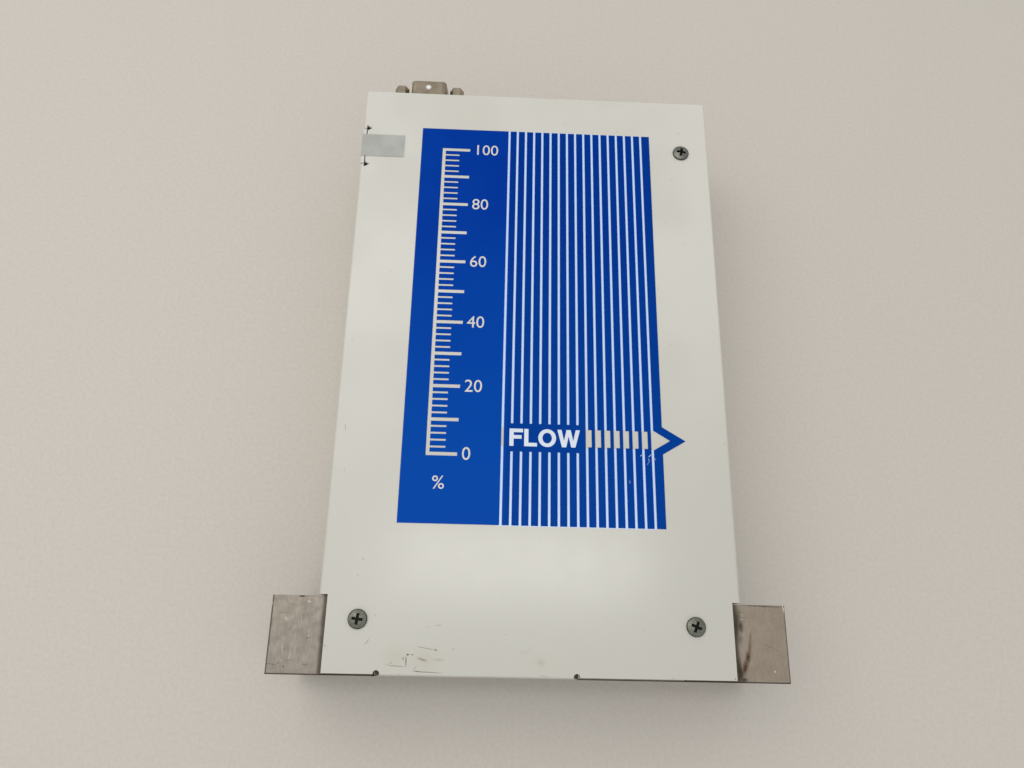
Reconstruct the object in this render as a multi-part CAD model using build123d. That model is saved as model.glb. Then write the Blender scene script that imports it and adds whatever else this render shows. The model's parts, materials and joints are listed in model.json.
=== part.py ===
from build123d import *
import os

# Mass flow controller lying on its rear cover. Lengths are in millimetres.
# While modelling, x runs along the gas flow from the middle of the case, y runs from the base's
# mounting plane to the connector, and z rises from the rear cover's outer face.

# Case
flange_reach = 9.4
case_height = 138.7
sheet = 0.8
bend_radius = 0.7
inner_bend_radius = 0.15
cover_gap = 0.2
cut_edge_y = 0.4
cut_edge_inset = 1.8
side_wall_end_z = 0.3

# Flap that the front cover folds round the base, and the round notches at its ends
notch_inset = 12.6
flap_width = 39.7
notch_y = 0.5
notch_radius = 0.65
flap_y = 0.1
flap_depth = 12.0
flap_clearance = 0.3

# Tab of the rear cover in the front cover's left side, and the seal over it
tab_drop = 11.0
tab_length = 10.4
tab_gap = 0.25
relief_length = 1.4
relief_width = 1.7
seal_drop = 12.9
seal_width = 6.25
seal_face_length = 10.4
seal_side_length = 9.0
seal_thickness = 0.12

# Rear cover's low side flanges
rear_flange_height = 6.0
rear_flange_end_gap = 4.0

# Base
base_length = 105.0
base_depth = 28.2
block_height = 15.1
end_block_length = 21.6
valve_body_height = 25.0
block_edge = 0.4
wall_clearance = 0.3
flange_hole_inset = 3.4
flange_hole_spacing_z = 21.8
flange_hole_radius = 2.55
port_inset = 14.3
port_gland_radius = 5.75
port_gland_depth = 1.8
passage_radius = 2.0
passage_drop = 7.6
joint_gland_radius = 4.5
joint_gland_depth = 1.0
gasket_clearance = 0.1
gasket_bore_radius = 2.6
filter_clearance = 0.05
orifice_radius = 0.25
orifice_thickness = 0.6

# Block bolts
block_bolt_radius = 1.5
block_bolt_head_radius = 2.75
block_bolt_head_length = 3.0
block_bolt_reach = 8.0
block_bolt_pitch = 10.6
block_bolt_drop = 3.9
bolt_clearance = 0.1
counterbore_clearance = 0.2
hex_key_radius = 1.4
hex_key_depth = 1.6

# Cover screws
left_screw_inset = 8.2
left_screw_y = 10.7
right_screw_inset = 9.6
right_screw_y = 10.5
far_screw_inset = 6.9
far_screw_drop = 15.0
cover_screw_turns = [-7, 68, -10]
cover_screw_radius = 1.25
cover_screw_length = 4.6
cover_screw_head_radius = 1.95
cover_screw_head_height = 0.9
cover_screw_rim_height = 0.35
cross_span = 2.25
cross_width = 0.6
cross_depth = 0.55
screw_hole_clearance = 0.25
thread_clearance = 0.05
thread_end_gap = 0.8
rear_head_radius = 2.4
rear_head_height = 1.2
post_radius = 3.2

# Control valve
valve_x = -10.0
valve_pocket_radius = 7.5
valve_pocket_depth = 3.0
seat_bore_radius = 1.2
seat_groove_inner_radius = 2.6
seat_groove_outer_radius = 5.6
seat_groove_depth = 0.9
return_bore_radius = 1.2
return_passage_y = 15.5
diaphragm_thickness = 0.3
diaphragm_rim_width = 1.6
diaphragm_rise = 0.5
fit_clearance = 0.1
clamp_side = 20.0
clamp_thickness = 5.0
clamp_screw_pitch = 14.6
clamp_screw_radius = 1.25
clamp_screw_head_radius = 2.25
clamp_screw_head_height = 2.5
clamp_screw_reach = 6.0
press_radius = 3.0
press_length = 13.0
collar_height = 4.0
actuator_radius = 6.5
actuator_bore_radius = 5.2
actuator_end_gap = 21.9
stack_side = 6.6
ball_radius = 2.0
cap_plug_length = 14.2
cap_head_length = 5.0
lock_nut_height = 3.0
lock_nut_radius = 7.6
cap_thread_radius = 4.2

# Pressure sensor and temperature sensor
sensor_x = 16.0
sensor_bore_radius = 1.5
sensor_gasket_radius = 5.0
sensor_gasket_thickness = 1.0
sensor_gland_depth = 0.8
sensor_body_radius = 5.6
sensor_body_length = 12.0
sensor_rim_radius = 7.0
sensor_rim_length = 1.8
probe_inset = 2.4
probe_radius = 1.2
probe_depth = 9.0
probe_head_radius = 1.9
probe_head_length = 3.0

# Boards
board_side_gap = 5.1
board_low_y = 42.0
board_end_gap = 22.7
board_thickness = 1.6
board_hole_inset = 4.0
board_hole_radius = 1.3
lower_standoff_height = 4.0
upper_standoff_height = 16.0
standoff_radius = 2.6
board_screw_radius = 1.2
board_screw_head_radius = 2.1
board_screw_head_height = 1.2
board_screw_length = 5.0
stud_length = 3.6
tongue_width = 24.0

# Chips on the main board: x from its middle, y below its far edge, length, width, height
chips = [
    (-20, 18, 14, 14, 1.6),
    (2, 16, 10, 6, 1.5),
    (18, 16, 10, 6, 1.5),
    (-22, 40, 8, 8, 1.2),
    (0, 38, 7, 5, 1.4),
    (14, 38, 7, 5, 1.4),
    (-20, 58, 12, 9, 2.2),
    (6, 60, 16, 7, 1.8),
]

# Power board: capacitors by x from its middle and y below its far edge, and blocks as above
capacitor_places = [(12, 58), (12, 46), (24, 58)]
capacitor_radius = 4.0
capacitor_height = 10.0
power_blocks = [
    (18, 25, 16, 14, 9),
    (-29, 41, 10, 18, 6),
]

# Pin header that joins the boards
link_width = 5.0
link_length = 26.0
link_inset = 1.5

# Connector
connector_inset = 15.1
connector_depth = 6.5
shell_wide = 10.1
shell_narrow = 8.8
shell_height = 6.3
shell_corner = 1.1
shell_wall = 0.4
shell_reach = 6.7
shell_flange_length = 19.9
shell_flange_height = 7.8
shell_flange_thickness = 1.4
insulator_recess = 1.0
connector_fit = 0.1
contact_pitch = 1.27
contact_row_pitch = 1.2
contact_radius = 0.25
contact_hole_radius = 0.35
contact_recess = 0.5
connector_board_thickness = 1.6
connector_board_width = 21.0
connector_board_height = 11.0
connector_board_setback = 6.8
jackpost_pitch = 14.35
jackpost_radius = 1.83
jackpost_recess = 0.4
jackpost_shank_radius = 1.1
jackpost_bore_radius = 0.9
jackpost_bore_depth = 3.0
jackpost_nut_radius = 2.3
jackpost_nut_height = 1.6
jackpost_tail = 0.4

# Blue print on the front cover. Heights in it are counted from its lower edge.
print_left_x = -28.4
print_width = 56.75
print_low_y = 30.1
print_drop = 10.45
print_thickness = 0.08
band_width = 21.4
line_count = 17
line_pitch = 2.054
line_width = 0.54
word_rise = 15.95
word_height = 6.3
first_word_line = 2
last_word_line = 9
first_dash_line = 10
last_dash_line = 16
dash_width = 1.3
dash_rise = 17.3
dash_height = 3.9
arrow_length = 1.7
arrow_height = 5.1
chevron_length = 5.1
chevron_height = 6.15

# Percent scale in the print's solid band
scale_rise = 15.0
scale_drop = 6.0
scale_inset = 5.2
scale_steps = 50
steps_per_long_tick = 5
spine_width = 0.8
long_tick = 6.0
long_tick_width = 0.8
short_tick = 3.4
short_tick_width = 0.45

# Worked out from the above
half_base = base_length / 2
half_width = half_base - flange_reach
body_half = half_base - end_block_length
rear_half = half_width - sheet - cover_gap
flange_hole_x = half_base - flange_hole_inset
port_x = half_base - port_inset
block_bolt_y = block_height - block_bolt_drop
passage_y = block_height - passage_drop
notch_left_x = -half_width + notch_inset
notch_right_x = notch_left_x + flap_width
tab_high_y = case_height - tab_drop
tab_low_y = tab_high_y - tab_length
seal_high_y = case_height - seal_drop
seal_low_y = seal_high_y - seal_width
left_screw = (-half_width + left_screw_inset, left_screw_y)
right_screw = (half_width - right_screw_inset, right_screw_y)
far_screw = (half_width - far_screw_inset, case_height - far_screw_drop)
cover_screw_places = [left_screw, right_screw, far_screw]
case_depth = base_depth + 2 * sheet
base_low_z = sheet
base_high_z = case_depth - sheet
middle_z = case_depth / 2
side_low_y = block_height + wall_clearance
panel_face_z = case_depth - sheet
overall_length = case_height + shell_reach
pocket_floor_y = valve_body_height - valve_pocket_depth
bonnet_top_y = valve_body_height + clamp_thickness
press_low_y = pocket_floor_y + diaphragm_thickness + diaphragm_rise
press_high_y = press_low_y + press_length
wall_inner_y = case_height - sheet
cap_high_y = wall_inner_y - actuator_end_gap
actuator_high_y = cap_high_y - cap_head_length - lock_nut_height
ball_y = actuator_high_y - cap_plug_length - ball_radius
stack_high_y = ball_y - ball_radius
probe_x = body_half - probe_inset
connector_x = -half_width + connector_inset
connector_z = case_depth - connector_depth
shell_end_y = case_height + shell_reach
connector_board_high_y = wall_inner_y - connector_board_setback
connector_board_low_y = connector_board_high_y - connector_board_thickness
board_width = 2 * (half_width - board_side_gap)
board_high_y = case_height - board_end_gap
power_board_z = sheet + lower_standoff_height
main_board_z = power_board_z + board_thickness + upper_standoff_height
board_hole_x = board_width / 2 - board_hole_inset
print_right_x = print_left_x + print_width
print_high_y = case_height - print_drop
word_low_y = print_low_y + word_rise
word_high_y = word_low_y + word_height
dash_low_y = print_low_y + dash_rise
dash_high_y = dash_low_y + dash_height
arrow_y = (dash_low_y + dash_high_y) / 2


def block(x0, x1, y0, y1, z0, z1):
    size = (x1 - x0, y1 - y0, z1 - z0)
    return Pos((x0 + x1) / 2, (y0 + y1) / 2, (z0 + z1) / 2) * Box(*size)


def rodX(radius, y, z, x0, x1):
    return Pos((x0 + x1) / 2, y, z) * Rot(0, 90, 0) * Cylinder(radius, x1 - x0)


def rodY(radius, x, z, y0, y1):
    return Pos(x, (y0 + y1) / 2, z) * Rot(90, 0, 0) * Cylinder(radius, y1 - y0)


def rodZ(radius, x, y, z0, z1):
    return Pos(x, y, (z0 + z1) / 2) * Cylinder(radius, z1 - z0)


def hexPrism(radius, length):
    return extrude(RegularPolygon(radius, 6), length)


def alongY(x, y, z):
    return Pos(x, y, z) * Rot(-90, 0, 0)


def group(solids):
    return Compound(children=list(solids))


# Folded sheets

def foldedChannel(half, low_y, high_y, low_z, high_z):
    """Sheet with two side walls that drop from its top face, with rounded bends."""
    outside = block(-half, half, low_y, high_y, low_z, high_z)
    inside = block(-half + sheet, half - sheet, low_y, high_y, low_z, high_z - sheet)
    outside = fillet(outside.edges().filter_by(Axis.Y).group_by(Axis.Z)[-1], bend_radius)
    inside = fillet(inside.edges().filter_by(Axis.Y).group_by(Axis.Z)[-1], inner_bend_radius)
    return outside - inside


def frontFlap():
    top_y = side_low_y
    low_z = case_depth - flap_depth
    outside = block(notch_left_x, notch_right_x, flap_y, top_y, low_z, case_depth)
    inside = block(notch_left_x, notch_right_x, flap_y + sheet, top_y, low_z, panel_face_z)
    outer_edge = outside.edges().filter_by(Axis.X).group_by(Axis.Z)[-1].sort_by(Axis.Y)[0]
    inner_edge = inside.edges().filter_by(Axis.X).group_by(Axis.Z)[-1].sort_by(Axis.Y)[0]
    return fillet(outer_edge, bend_radius) - fillet(inner_edge, inner_bend_radius)


def reliefHole(y, direction):
    corner_x = -half_width + sheet
    points = [
        (corner_x, y - direction * relief_width / 2),
        (corner_x + relief_length, y),
        (corner_x, y + direction * relief_width / 2),
    ]
    face = make_face(Polyline(*points, close=True))
    return Pos(0, 0, panel_face_z - sheet) * extrude(face, 3 * sheet)


def frontCover():
    cover = foldedChannel(half_width, side_low_y, case_height, side_wall_end_z, case_depth)
    panel_half = half_width - cut_edge_inset
    cover += block(-panel_half, panel_half, cut_edge_y, side_low_y + sheet, panel_face_z, case_depth)
    cover += frontFlap()
    for x in (notch_left_x, notch_right_x):
        cover -= rodZ(notch_radius, x, notch_y, case_depth - flap_depth, case_depth + sheet)
    gap_x = -half_width + sheet + tab_gap
    cover -= block(-half_width - sheet, gap_x, tab_low_y, tab_high_y, 0, case_depth + sheet)
    cover -= reliefHole(tab_low_y, -1)
    cover -= reliefHole(tab_high_y, 1)
    for x, y in cover_screw_places:
        hole_radius = cover_screw_radius + screw_hole_clearance
        cover -= rodZ(hole_radius, x, y, panel_face_z - sheet, case_depth + sheet)
    return cover


def connectorOutline(clearance):
    """D-shaped outline, wide side first, in the xy plane."""
    wide = shell_wide / 2 + clearance
    narrow = shell_narrow / 2 + clearance
    high = shell_height / 2 + clearance
    face = make_face(Polyline((-wide, -high), (wide, -high), (narrow, high), (-narrow, high), close=True))
    return fillet(face.vertices(), shell_corner + clearance)


def connectorPrism(clearance, low_y, high_y):
    """The D shape run along y, with its narrow side towards the front cover."""
    prism = extrude(connectorOutline(clearance), high_y - low_y)
    return Pos(connector_x, high_y, connector_z) * Rot(90, 0, 0) * prism


def sideTab():
    """Tab that rises from the rear cover into the gap in the front cover's left side."""
    root_x = -rear_half + bend_radius + sheet
    low_y = tab_low_y + tab_gap
    high_y = tab_high_y - tab_gap
    tab = block(-half_width, root_x, low_y, high_y, 0, case_depth)
    hollow = block(-half_width + sheet, root_x, low_y, high_y, sheet, case_depth)
    outer_edge = tab.edges().filter_by(Axis.Y).group_by(Axis.Z)[0].sort_by(Axis.X)[0]
    return fillet(outer_edge, bend_radius) - hollow


def rearCover():
    cover_high_z = panel_face_z - cover_gap
    outside = block(-rear_half, rear_half, cut_edge_y, case_height, 0, cover_high_z)
    hollow = block(-rear_half, rear_half, cut_edge_y, wall_inner_y, sheet, cover_high_z)
    outer_edge = outside.edges().filter_by(Axis.X).group_by(Axis.Z)[0].sort_by(Axis.Y)[-1]
    inner_edge = hollow.edges().filter_by(Axis.X).group_by(Axis.Z)[0].sort_by(Axis.Y)[-1]
    cover = fillet(outer_edge, bend_radius) - fillet(inner_edge, inner_bend_radius)
    flange_low_y = block_height + wall_clearance
    flange_high_y = wall_inner_y - rear_flange_end_gap
    cover += Rot(0, 180, 0) * foldedChannel(rear_half, flange_low_y, flange_high_y, -rear_flange_height, 0)
    cover -= block(-half_width, -rear_half + bend_radius, tab_low_y, tab_high_y, sheet, case_depth)
    cover += sideTab()
    cover -= connectorPrism(connector_fit, wall_inner_y - sheet, case_height + sheet)
    for side in (-1, 1):
        x = connector_x + side * jackpost_pitch / 2
        hole_radius = jackpost_shank_radius + thread_clearance
        cover -= rodY(hole_radius, x, connector_z, wall_inner_y - sheet, case_height + sheet)
    for x, y in cover_screw_places:
        cover -= rearScrewSpace(x, y)
    return cover


def sealLabel():
    high_z = case_depth + seal_thickness
    low_z = case_depth - seal_side_length
    left_x = -half_width - seal_thickness
    right_x = -half_width + seal_face_length
    outside = block(left_x, right_x, seal_low_y, seal_high_y, low_z, high_z)
    inside = block(-half_width, right_x, seal_low_y, seal_high_y, low_z, case_depth)
    return outside - inside


# Screws

def crossRecess(top_z, turn):
    arm = Box(cross_span, cross_width, 2 * cross_depth)
    return Pos(0, 0, top_z) * Rot(0, 0, turn) * (arm + Rot(0, 0, 90) * arm)


def panScrew(turn):
    """Cross-recessed screw with a low domed head that sits on z = 0."""
    rim = rodZ(cover_screw_head_radius, 0, 0, 0, cover_screw_rim_height)
    dome_rise = cover_screw_head_height - cover_screw_rim_height
    dome_radius = (cover_screw_head_radius ** 2 + dome_rise ** 2) / (2 * dome_rise)
    ball = Pos(0, 0, cover_screw_head_height - dome_radius) * Sphere(dome_radius)
    slab = rodZ(cover_screw_head_radius, 0, 0, 0, cover_screw_head_height)
    head = rim + (ball & slab)
    shank = rodZ(cover_screw_radius, 0, 0, -cover_screw_length, 0)
    return head + shank - crossRecess(cover_screw_head_height, turn)


def frontCoverScrews():
    screws = []
    for (x, y), turn in zip(cover_screw_places, cover_screw_turns):
        screws.append(Pos(x, y, case_depth) * panScrew(turn))
    return group(screws)


def countersink(radius, height):
    """Cone whose wide end is on z = 0 and which narrows upward to the shank."""
    cone = Cone(radius, cover_screw_radius, height)
    return Pos(0, 0, height / 2) * cone


def rearScrewSpace(x, y):
    head_space = countersink(rear_head_radius + thread_clearance, rear_head_height + thread_clearance)
    shank_space = rodZ(cover_screw_radius + thread_clearance, 0, 0, 0, cover_screw_length + thread_end_gap)
    return Pos(x, y, 0) * (head_space + shank_space)


def rearCoverScrews():
    screws = []
    for (x, y), turn in zip(cover_screw_places, cover_screw_turns):
        head = countersink(rear_head_radius, rear_head_height)
        shank = rodZ(cover_screw_radius, 0, 0, 0, cover_screw_length)
        screws.append(Pos(x, y, 0) * (head + shank - crossRecess(0, -turn)))
    return group(screws)


def frontScrewSpace(x, y):
    low_z = case_depth - cover_screw_length - thread_end_gap
    return rodZ(cover_screw_radius + thread_clearance, x, y, low_z, case_depth)


def coverPost():
    x, y = cover_screw_places[-1]
    post = Pos(x, y, sheet) * hexPrism(post_radius, base_high_z - base_low_z)
    return post - frontScrewSpace(x, y) - rearScrewSpace(x, y)


def socketScrew(radius, head_radius, head_length, length):
    """Socket-head screw along z with its head's seat on z = 0."""
    head = rodZ(head_radius, 0, 0, 0, head_length)
    key = Pos(0, 0, head_length - hex_key_depth) * hexPrism(hex_key_radius, 2 * hex_key_depth)
    shank = rodZ(radius, 0, 0, -length, 0)
    return head + shank - key


# Base

def blockBolt(side, row):
    seat_x = half_base - block_bolt_head_length - counterbore_clearance
    length = seat_x - body_half + block_bolt_reach
    screw = socketScrew(block_bolt_radius, block_bolt_head_radius, block_bolt_head_length, length)
    z = middle_z + row * block_bolt_pitch / 2
    return Pos(side * seat_x, block_bolt_y, z) * Rot(0, side * 90, 0) * screw


def blockBolts():
    return group(blockBolt(side, row) for side in (-1, 1) for row in (-1, 1))


def boltSpaces(side):
    """Room for the two bolts of one end: counterbore, clear hole and threads in the valve body."""
    seat_x = half_base - block_bolt_head_length - counterbore_clearance
    deep_x = body_half - block_bolt_reach - thread_end_gap
    spaces = []
    for row in (-1, 1):
        z = middle_z + row * block_bolt_pitch / 2
        counterbore_radius = block_bolt_head_radius + counterbore_clearance
        spaces.append(rodX(counterbore_radius, block_bolt_y, z, seat_x, half_base + sheet))
        spaces.append(rodX(block_bolt_radius + bolt_clearance, block_bolt_y, z, deep_x, half_base))
    if side > 0:
        return spaces
    return [mirror(space, about=Plane.YZ) for space in spaces]


def endBlock(side):
    """End block of the base, with its mounting holes, gas port and seal glands."""
    body = block(body_half, half_base, 0, block_height, base_low_z, base_high_z)
    body = chamfer(body.edges().filter_by(Axis.Y), block_edge)
    for row in (-1, 1):
        z = middle_z + row * flange_hole_spacing_z / 2
        body -= rodY(flange_hole_radius, flange_hole_x, z, -sheet, block_height + sheet)
    body -= rodY(port_gland_radius, port_x, middle_z, -sheet, port_gland_depth)
    body -= rodY(passage_radius, port_x, middle_z, 0, passage_y + passage_radius)
    body -= rodX(passage_radius, passage_y, middle_z, body_half - sheet, port_x)
    body -= rodX(joint_gland_radius, passage_y, middle_z, body_half - sheet, body_half + joint_gland_depth)
    if side < 0:
        body = mirror(body, about=Plane.YZ)
    for space in boltSpaces(side):
        body -= space
    for x, y in cover_screw_places:
        if x * side > 0 and y < block_height:
            body -= frontScrewSpace(x, y)
            body -= rearScrewSpace(x, y)
    return body


def clampScrewPlaces(x):
    half = clamp_screw_pitch / 2
    return [(x + dx * half, middle_z + dz * half) for dx in (-1, 1) for dz in (-1, 1)]


def valveBody():
    body = block(-body_half, body_half, 0, valve_body_height, base_low_z, base_high_z)
    above_y = valve_body_height + sheet
    flap_space_y = flap_y + sheet + flap_clearance
    flap_space_z = case_depth - flap_depth - flap_clearance
    left_x = notch_left_x - flap_clearance
    right_x = notch_right_x + flap_clearance
    body -= block(left_x, right_x, -sheet, flap_space_y, flap_space_z, base_high_z + sheet)
    for side in (-1, 1):
        outer_x = side * (body_half + sheet)
        inner_x = side * (body_half - joint_gland_depth)
        body -= rodX(joint_gland_radius, passage_y, middle_z, min(outer_x, inner_x), max(outer_x, inner_x))
        for space in boltSpaces(side):
            body -= space
    body -= rodX(passage_radius, passage_y, middle_z, -body_half, valve_x)
    body -= rodY(seat_bore_radius, valve_x, middle_z, passage_y, pocket_floor_y + sheet)
    body -= rodY(valve_pocket_radius, valve_x, middle_z, pocket_floor_y, above_y)
    groove_y = pocket_floor_y - seat_groove_depth
    groove = rodY(seat_groove_outer_radius, valve_x, middle_z, groove_y, pocket_floor_y)
    body -= groove - rodY(seat_groove_inner_radius, valve_x, middle_z, groove_y - sheet, valve_body_height)
    return_x = valve_x + (seat_groove_inner_radius + seat_groove_outer_radius) / 2
    body -= rodY(return_bore_radius, return_x, middle_z, return_passage_y, pocket_floor_y)
    body -= rodX(return_bore_radius, return_passage_y, middle_z, return_x, sensor_x)
    body -= rodY(sensor_bore_radius, sensor_x, middle_z, passage_y, above_y)
    body -= rodX(passage_radius, passage_y, middle_z, sensor_x, body_half)
    gland_radius = sensor_gasket_radius + gasket_clearance
    body -= rodY(gland_radius, sensor_x, middle_z, valve_body_height - sensor_gland_depth, above_y)
    body -= rodY(probe_radius + fit_clearance, probe_x, middle_z, valve_body_height - probe_depth, above_y)
    for centre_x in (valve_x, sensor_x):
        for x, z in clampScrewPlaces(centre_x):
            low_y = valve_body_height - clamp_screw_reach - thread_end_gap
            body -= rodY(clamp_screw_radius + thread_clearance, x, z, low_y, above_y)
    return body


def blockGaskets():
    half = joint_gland_depth
    radius = joint_gland_radius - gasket_clearance
    rings = []
    for x in (-body_half, body_half):
        ring = rodX(radius, passage_y, middle_z, x - half, x + half)
        rings.append(ring - rodX(gasket_bore_radius, passage_y, middle_z, x - 2 * half, x + 2 * half))
    return group(rings)


def inletFilter():
    radius = gasket_bore_radius - filter_clearance
    return rodX(radius, passage_y, middle_z, -body_half - joint_gland_depth, -body_half + joint_gland_depth)


def orificePlate():
    radius = gasket_bore_radius - filter_clearance
    x = body_half - joint_gland_depth
    plate = rodX(radius, passage_y, middle_z, x, x + orifice_thickness)
    return plate - rodX(orifice_radius, passage_y, middle_z, x - sheet, x + orifice_thickness + sheet)


# Control valve

def valveDiaphragm():
    radius = valve_pocket_radius - fit_clearance
    dome_edge = radius - diaphragm_rim_width
    rim = rodY(radius, valve_x, middle_z, pocket_floor_y, pocket_floor_y + diaphragm_thickness)
    hole = rodY(dome_edge, valve_x, middle_z, pocket_floor_y - sheet, pocket_floor_y + sheet)
    dome_radius = (dome_edge ** 2 + diaphragm_rise ** 2) / (2 * diaphragm_rise)
    low_y = pocket_floor_y + diaphragm_rise - dome_radius
    outer = Pos(valve_x, low_y + diaphragm_thickness, middle_z) * Sphere(dome_radius)
    inner = Pos(valve_x, low_y, middle_z) * Sphere(dome_radius)
    column = rodY(dome_edge, valve_x, middle_z, pocket_floor_y, valve_body_height)
    return (rim - hole) + ((outer - inner) & column)


def clampPlate(centre_x):
    half = clamp_side / 2
    low_z = middle_z - half
    high_z = middle_z + half
    plate = block(centre_x - half, centre_x + half, valve_body_height, bonnet_top_y, low_z, high_z)
    plate = chamfer(plate.edges().filter_by(Axis.Y), 2 * block_edge)
    hole_radius = clamp_screw_radius + bolt_clearance
    for x, z in clampScrewPlaces(centre_x):
        plate -= rodY(hole_radius, x, z, valve_body_height - sheet, bonnet_top_y + sheet)
    return plate


def valveBonnet():
    bonnet = clampPlate(valve_x)
    spigot_low_y = pocket_floor_y + diaphragm_thickness
    bonnet += rodY(valve_pocket_radius - fit_clearance, valve_x, middle_z, spigot_low_y, valve_body_height)
    relief_radius = valve_pocket_radius - diaphragm_rim_width
    bonnet -= rodY(relief_radius, valve_x, middle_z, spigot_low_y - sheet, press_low_y + fit_clearance)
    collar_high_y = bonnet_top_y + collar_height
    bonnet += rodY(actuator_bore_radius - fit_clearance, valve_x, middle_z, bonnet_top_y, collar_high_y)
    return bonnet - rodY(press_radius + fit_clearance, valve_x, middle_z, spigot_low_y, collar_high_y + sheet)


def clampScrews(centre_x):
    length = clamp_thickness + clamp_screw_reach
    screw = socketScrew(clamp_screw_radius, clamp_screw_head_radius, clamp_screw_head_height, length)
    return group(alongY(x, bonnet_top_y, z) * screw for x, z in clampScrewPlaces(centre_x))


def diaphragmPress():
    return rodY(press_radius, valve_x, middle_z, press_low_y, press_high_y)


def actuatorTube():
    tube = rodY(actuator_radius, valve_x, middle_z, bonnet_top_y, actuator_high_y)
    return tube - rodY(actuator_bore_radius, valve_x, middle_z, bonnet_top_y - sheet, actuator_high_y + sheet)


def piezoStack():
    half = stack_side / 2
    return block(valve_x - half, valve_x + half, press_high_y, stack_high_y, middle_z - half, middle_z + half)


def thrustBall():
    return Pos(valve_x, ball_y, middle_z) * Sphere(ball_radius)


def adjustingCap():
    """Threaded plug with a hex head, seated on the thrust ball."""
    seat_y = ball_y + ball_radius
    head_low_y = cap_high_y - cap_head_length
    cap = rodY(actuator_bore_radius - fit_clearance, valve_x, middle_z, seat_y, actuator_high_y)
    cap += rodY(cap_thread_radius, valve_x, middle_z, actuator_high_y, head_low_y)
    return cap + alongY(valve_x, head_low_y, middle_z) * hexPrism(actuator_bore_radius, cap_head_length)


def lockNut():
    nut = alongY(valve_x, actuator_high_y, middle_z) * hexPrism(lock_nut_radius, lock_nut_height)
    bore_radius = cap_thread_radius + thread_clearance
    bore_high_y = actuator_high_y + lock_nut_height + sheet
    return nut - rodY(bore_radius, valve_x, middle_z, actuator_high_y - sheet, bore_high_y)


# Sensors

def sensorGasket():
    low_y = valve_body_height - sensor_gland_depth
    ring = rodY(sensor_gasket_radius, sensor_x, middle_z, low_y, low_y + sensor_gasket_thickness)
    return ring - rodY(sensor_bore_radius, sensor_x, middle_z, low_y - sheet, valve_body_height + sheet)


def pressureSensor():
    """Turned capsule with a rim that the clamp presses onto the gasket."""
    low_y = valve_body_height - sensor_gland_depth + sensor_gasket_thickness
    body = rodY(sensor_body_radius, sensor_x, middle_z, low_y, low_y + sensor_body_length)
    body += rodY(sensor_rim_radius, sensor_x, middle_z, low_y, low_y + sensor_rim_length)
    return body - rodY(sensor_bore_radius, sensor_x, middle_z, low_y - sheet, low_y + sensor_rim_length)


def sensorClamp():
    clamp = clampPlate(sensor_x)
    below_y = valve_body_height - sheet
    rim_high_y = valve_body_height - sensor_gland_depth + sensor_gasket_thickness + sensor_rim_length
    clamp -= rodY(sensor_body_radius + fit_clearance, sensor_x, middle_z, below_y, bonnet_top_y + sheet)
    return clamp - rodY(sensor_rim_radius + fit_clearance, sensor_x, middle_z, below_y, rim_high_y)


def temperatureSensor():
    low_y = valve_body_height - probe_depth
    head_high_y = valve_body_height + probe_head_length
    probe = rodY(probe_radius, probe_x, middle_z, low_y, valve_body_height)
    return probe + rodY(probe_head_radius, probe_x, middle_z, valve_body_height, head_high_y)


# Electronics

def boardHolePlaces():
    low_y = board_low_y + board_hole_inset
    high_y = board_high_y - board_hole_inset
    return [(x, y) for x in (-board_hole_x, board_hole_x) for y in (low_y, high_y)]


def boardPlate(low_z):
    half = board_width / 2
    plate = block(-half, half, board_low_y, board_high_y, low_z, low_z + board_thickness)
    for x, y in boardHolePlaces():
        plate -= rodZ(board_hole_radius, x, y, low_z - sheet, low_z + board_thickness + sheet)
    return plate


def mainBoard():
    """Upper board with a tongue that runs on to the connector board."""
    plate = boardPlate(main_board_z)
    half = tongue_width / 2
    tongue_low_y = board_high_y - sheet
    left_x = connector_x - half
    right_x = connector_x + half
    high_z = main_board_z + board_thickness
    plate += block(left_x, right_x, tongue_low_y, connector_board_low_y, main_board_z, high_z)
    return plate


def boardBlocks(places, low_z):
    """Rectangular components that stand on a board."""
    blocks = []
    for x, drop, length, width, height in places:
        middle = (x, board_high_y - drop, low_z + height / 2)
        blocks.append(Pos(*middle) * Box(length, width, height))
    return blocks


def mainBoardChips():
    return group(boardBlocks(chips, main_board_z + board_thickness))


def powerBoardParts():
    low_z = power_board_z + board_thickness
    parts = boardBlocks(power_blocks, low_z)
    for x, drop in capacitor_places:
        parts.append(rodZ(capacitor_radius, x, board_high_y - drop, low_z, low_z + capacitor_height))
    return group(parts)


def boardLink():
    """Stacked pin header between the two boards, along their right edge."""
    right_x = board_width / 2 - link_inset
    middle_y = (board_low_y + board_high_y) / 2
    low_y = middle_y - link_length / 2
    low_z = power_board_z + board_thickness
    return block(right_x - link_width, right_x, low_y, low_y + link_length, low_z, main_board_z)


def lowerStandoffs():
    posts = []
    for x, y in boardHolePlaces():
        post = Pos(x, y, sheet) * hexPrism(standoff_radius, lower_standoff_height)
        low_z = power_board_z + board_thickness - stud_length - thread_clearance
        posts.append(post - rodZ(board_screw_radius + thread_clearance, x, y, low_z, power_board_z + sheet))
    return group(posts)


def upperStandoffs():
    posts = []
    low_z = power_board_z + board_thickness
    thread_radius = board_screw_radius + thread_clearance
    thread_low_z = main_board_z + board_thickness - board_screw_length - thread_end_gap
    for x, y in boardHolePlaces():
        post = Pos(x, y, low_z) * hexPrism(standoff_radius, upper_standoff_height)
        post += rodZ(board_screw_radius, x, y, low_z - stud_length, low_z)
        posts.append(post - rodZ(thread_radius, x, y, thread_low_z, main_board_z + sheet))
    return group(posts)


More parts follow.
